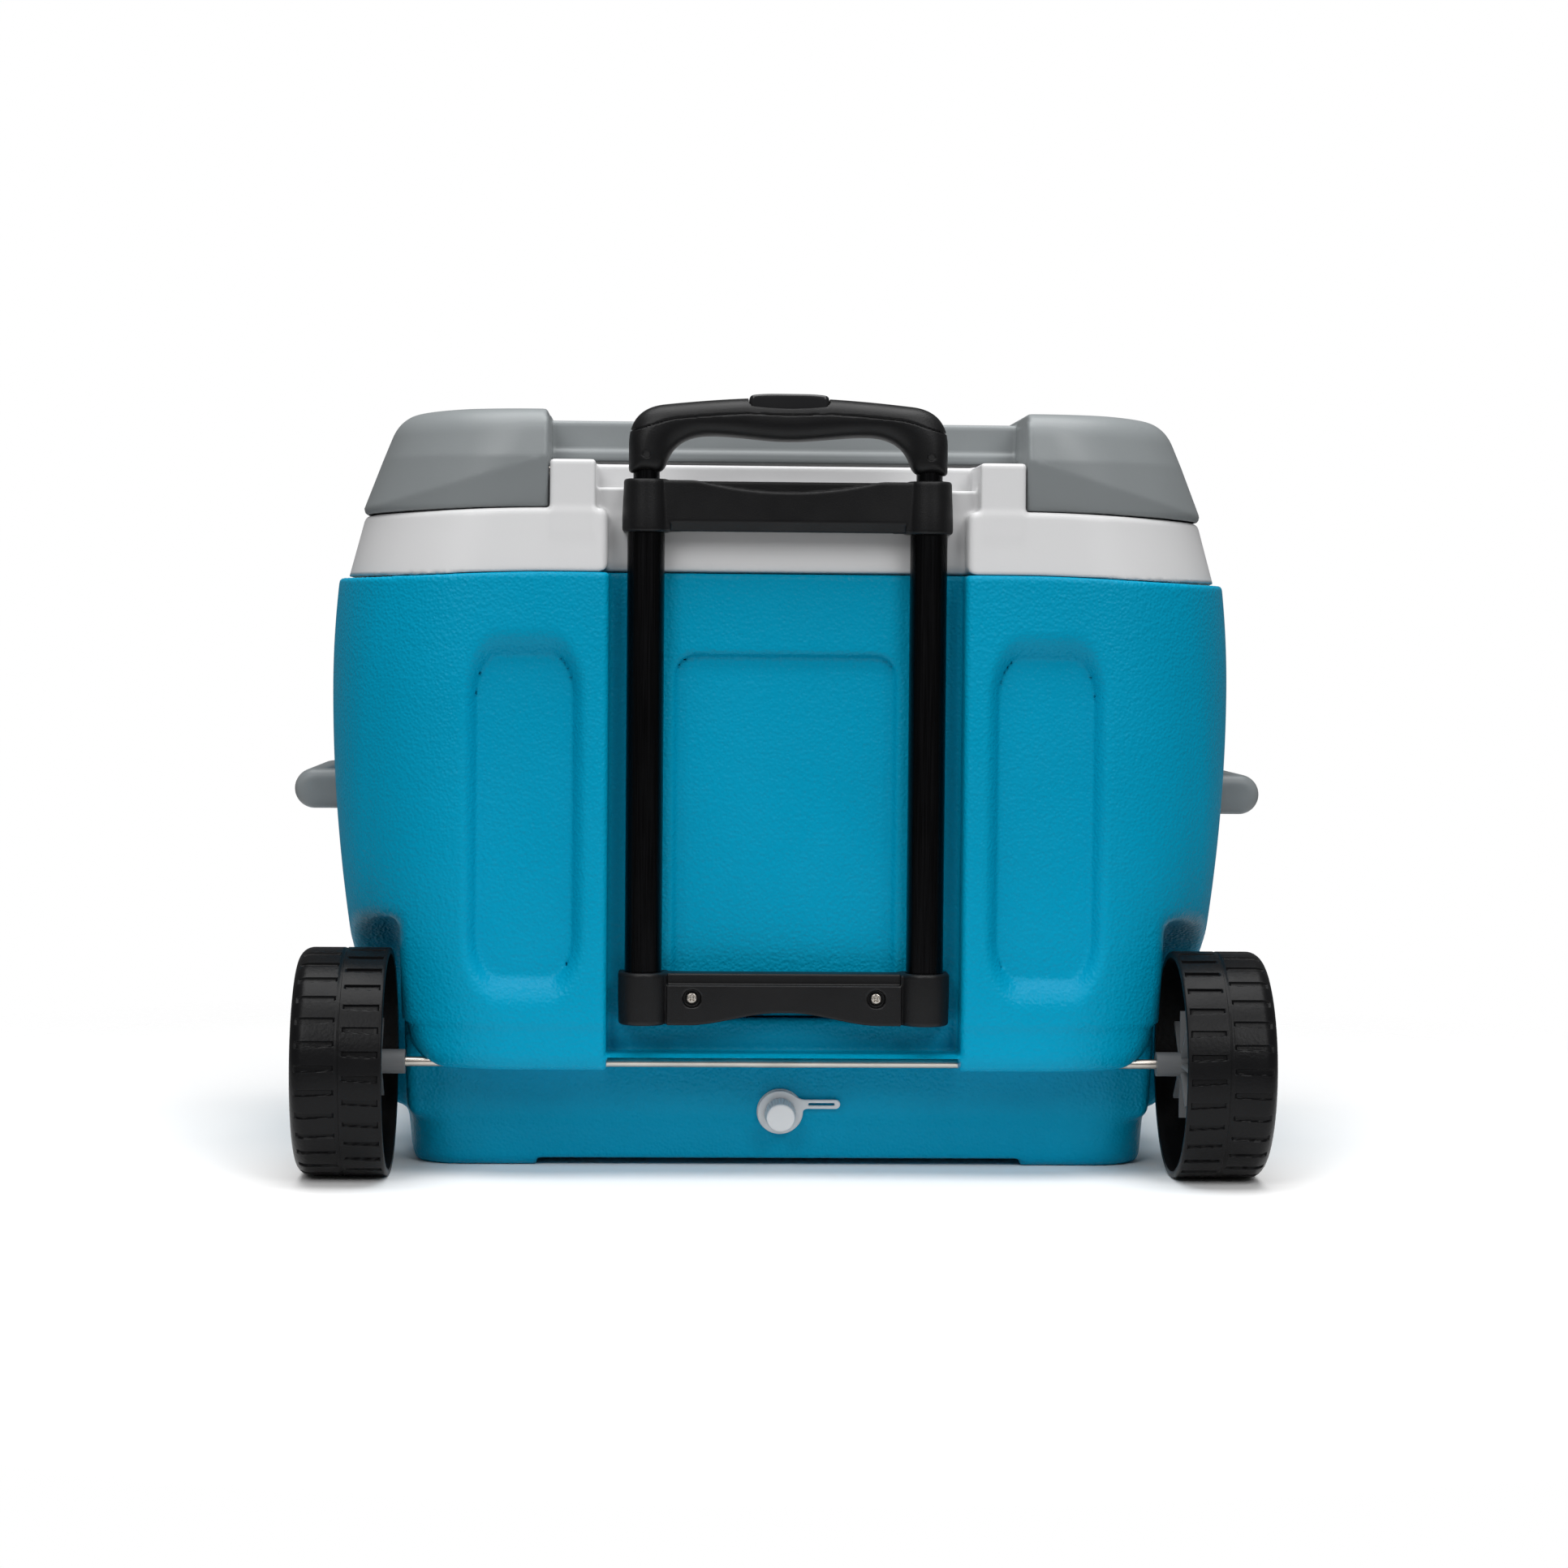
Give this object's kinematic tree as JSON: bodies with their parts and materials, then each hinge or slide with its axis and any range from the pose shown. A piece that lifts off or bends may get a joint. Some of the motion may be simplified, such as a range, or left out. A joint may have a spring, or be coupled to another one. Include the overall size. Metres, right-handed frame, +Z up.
{
  "type": "wheeled cooler",
  "caption": "Hard-sided insulated cooler on wheels, with a hinged lid, telescopic pull handle, swing-up side handles and a screw drain cap.",
  "frame": {"origin": "on the ground under the middle of the whole object", "axes": "+Z up, +Y towards the front that the lid opens at, the pull handle and wheels at -Y, +X along the length"},
  "size_m": [0.653, 0.47, 0.507],
  "materials": {
    "blue_shell": "pebble-grained moulded polyethylene, satin",
    "white_plastic": "smooth white polypropylene, satin",
    "grey_plastic": "smooth grey polyethylene with a low sheen",
    "black_plastic": "fine-grained black nylon",
    "black_tube": "semi-gloss black anodised aluminium tube",
    "tread_black": "hard black moulded tread",
    "plain_steel": "drawn, zinc plated",
    "seal_rubber": "soft black rubber",
    "insulating_foam": "cut polyurethane foam"
  },
  "bodies": {
    "cooler": {"body_shell": "blue_shell", "body_foam": "insulating_foam", "liner": "white_plastic", "hinge_pin_left": "plain_steel", "hinge_pin_right": "plain_steel", "side_handle_pins_left": "plain_steel", "side_handle_pins_right": "plain_steel", "axle": "plain_steel", "axle_push_nuts": "plain_steel", "top_bracket": "black_plastic", "bottom_bracket": "black_plastic", "bracket_screws": "plain_steel", "outer_tube_left": "black_tube", "outer_tube_right": "black_tube", "outer_bush_left": "black_plastic", "outer_bush_right": "black_plastic", "drain_spout": "white_plastic", "drain_gasket": "seal_rubber", "drain_nut": "white_plastic"},
    "lid": {"lid_shell": "grey_plastic", "lid_foam": "insulating_foam", "lid_liner": "white_plastic"},
    "side_handle_left": {"side_handle_left": "grey_plastic"},
    "side_handle_right": {"side_handle_right": "grey_plastic"},
    "wheel_left": {"tyre_left": "tread_black", "wheel_hub_left": "grey_plastic", "hub_cap_left": "grey_plastic"},
    "wheel_right": {"tyre_right": "tread_black", "wheel_hub_right": "grey_plastic", "hub_cap_right": "grey_plastic"},
    "handle_middle": {"middle_tube_left": "plain_steel", "middle_tube_right": "plain_steel", "middle_bush_left": "black_plastic", "middle_bush_right": "black_plastic", "middle_glide_left": "black_plastic", "middle_glide_right": "black_plastic"},
    "handle_inner": {"inner_tube_left": "black_tube", "inner_tube_right": "black_tube", "inner_glide_left": "black_plastic", "inner_glide_right": "black_plastic", "latch_block_left": "white_plastic", "latch_block_right": "white_plastic", "latch_pins": "plain_steel", "grip": "black_plastic", "grip_pins": "black_plastic", "button_spring": "plain_steel"},
    "grip_button": {"grip_button": "grey_plastic", "button_bar": "white_plastic", "release_rod_left": "plain_steel", "release_rod_right": "plain_steel"},
    "drain_tether": {"drain_tether": "white_plastic"},
    "drain_cap": {"drain_cap": "white_plastic", "cap_gasket": "seal_rubber"}
  },
  "joints": [
    {"name": "lid_hinge", "type": "hinge", "parent": "cooler", "child": "lid", "pos_m": [0, -0.172, 0.457], "axis": [-1, 0, 0], "range_deg": [-95, 0]},
    {"name": "handle_middle_slide", "type": "slide", "parent": "cooler", "child": "handle_middle", "axis": [0, 0, 1], "range_m": [0, 0.26]},
    {"name": "handle_inner_slide", "type": "slide", "parent": "handle_middle", "child": "handle_inner", "axis": [0, 0, 1], "range_m": [0, 0.26]},
    {"name": "grip_button_press", "type": "slide", "parent": "handle_inner", "child": "grip_button", "axis": [0, 0, -1], "range_m": [0, 0.004], "stiffness_N_per_m": 800, "springref_m": -0.002},
    {"name": "wheel_left_spin", "type": "hinge", "parent": "cooler", "child": "wheel_left", "pos_m": [-0.28, -0.161, 0.074], "axis": [1, 0, 0], "continuous": true},
    {"name": "wheel_right_spin", "type": "hinge", "parent": "cooler", "child": "wheel_right", "pos_m": [0.28, -0.161, 0.074], "axis": [1, 0, 0], "continuous": true},
    {"name": "side_handle_left_swing", "type": "hinge", "parent": "cooler", "child": "side_handle_left", "pos_m": [-0.286, 0, 0.247], "axis": [0, 1, 0], "range_deg": [0, 70]},
    {"name": "side_handle_right_swing", "type": "hinge", "parent": "cooler", "child": "side_handle_right", "pos_m": [0.286, 0, 0.247], "axis": [0, -1, 0], "range_deg": [0, 70]},
    {"name": "drain_cap_turn", "type": "hinge", "parent": "drain_tether", "child": "drain_cap", "pos_m": [0, -0.12635, 0.038], "axis": [0, -0.9903, -0.1392], "range_deg": [0, 1080]},
    {"name": "drain_tether_slide", "type": "slide", "parent": "cooler", "child": "drain_tether", "axis": [0, -0.9903, -0.1392], "range_m": [0, 0.009]}
  ],
  "couplings": [
    {"joint": "drain_cap_turn", "follows": "drain_tether_slide", "rad_per_m": 2094.4}
  ]
}
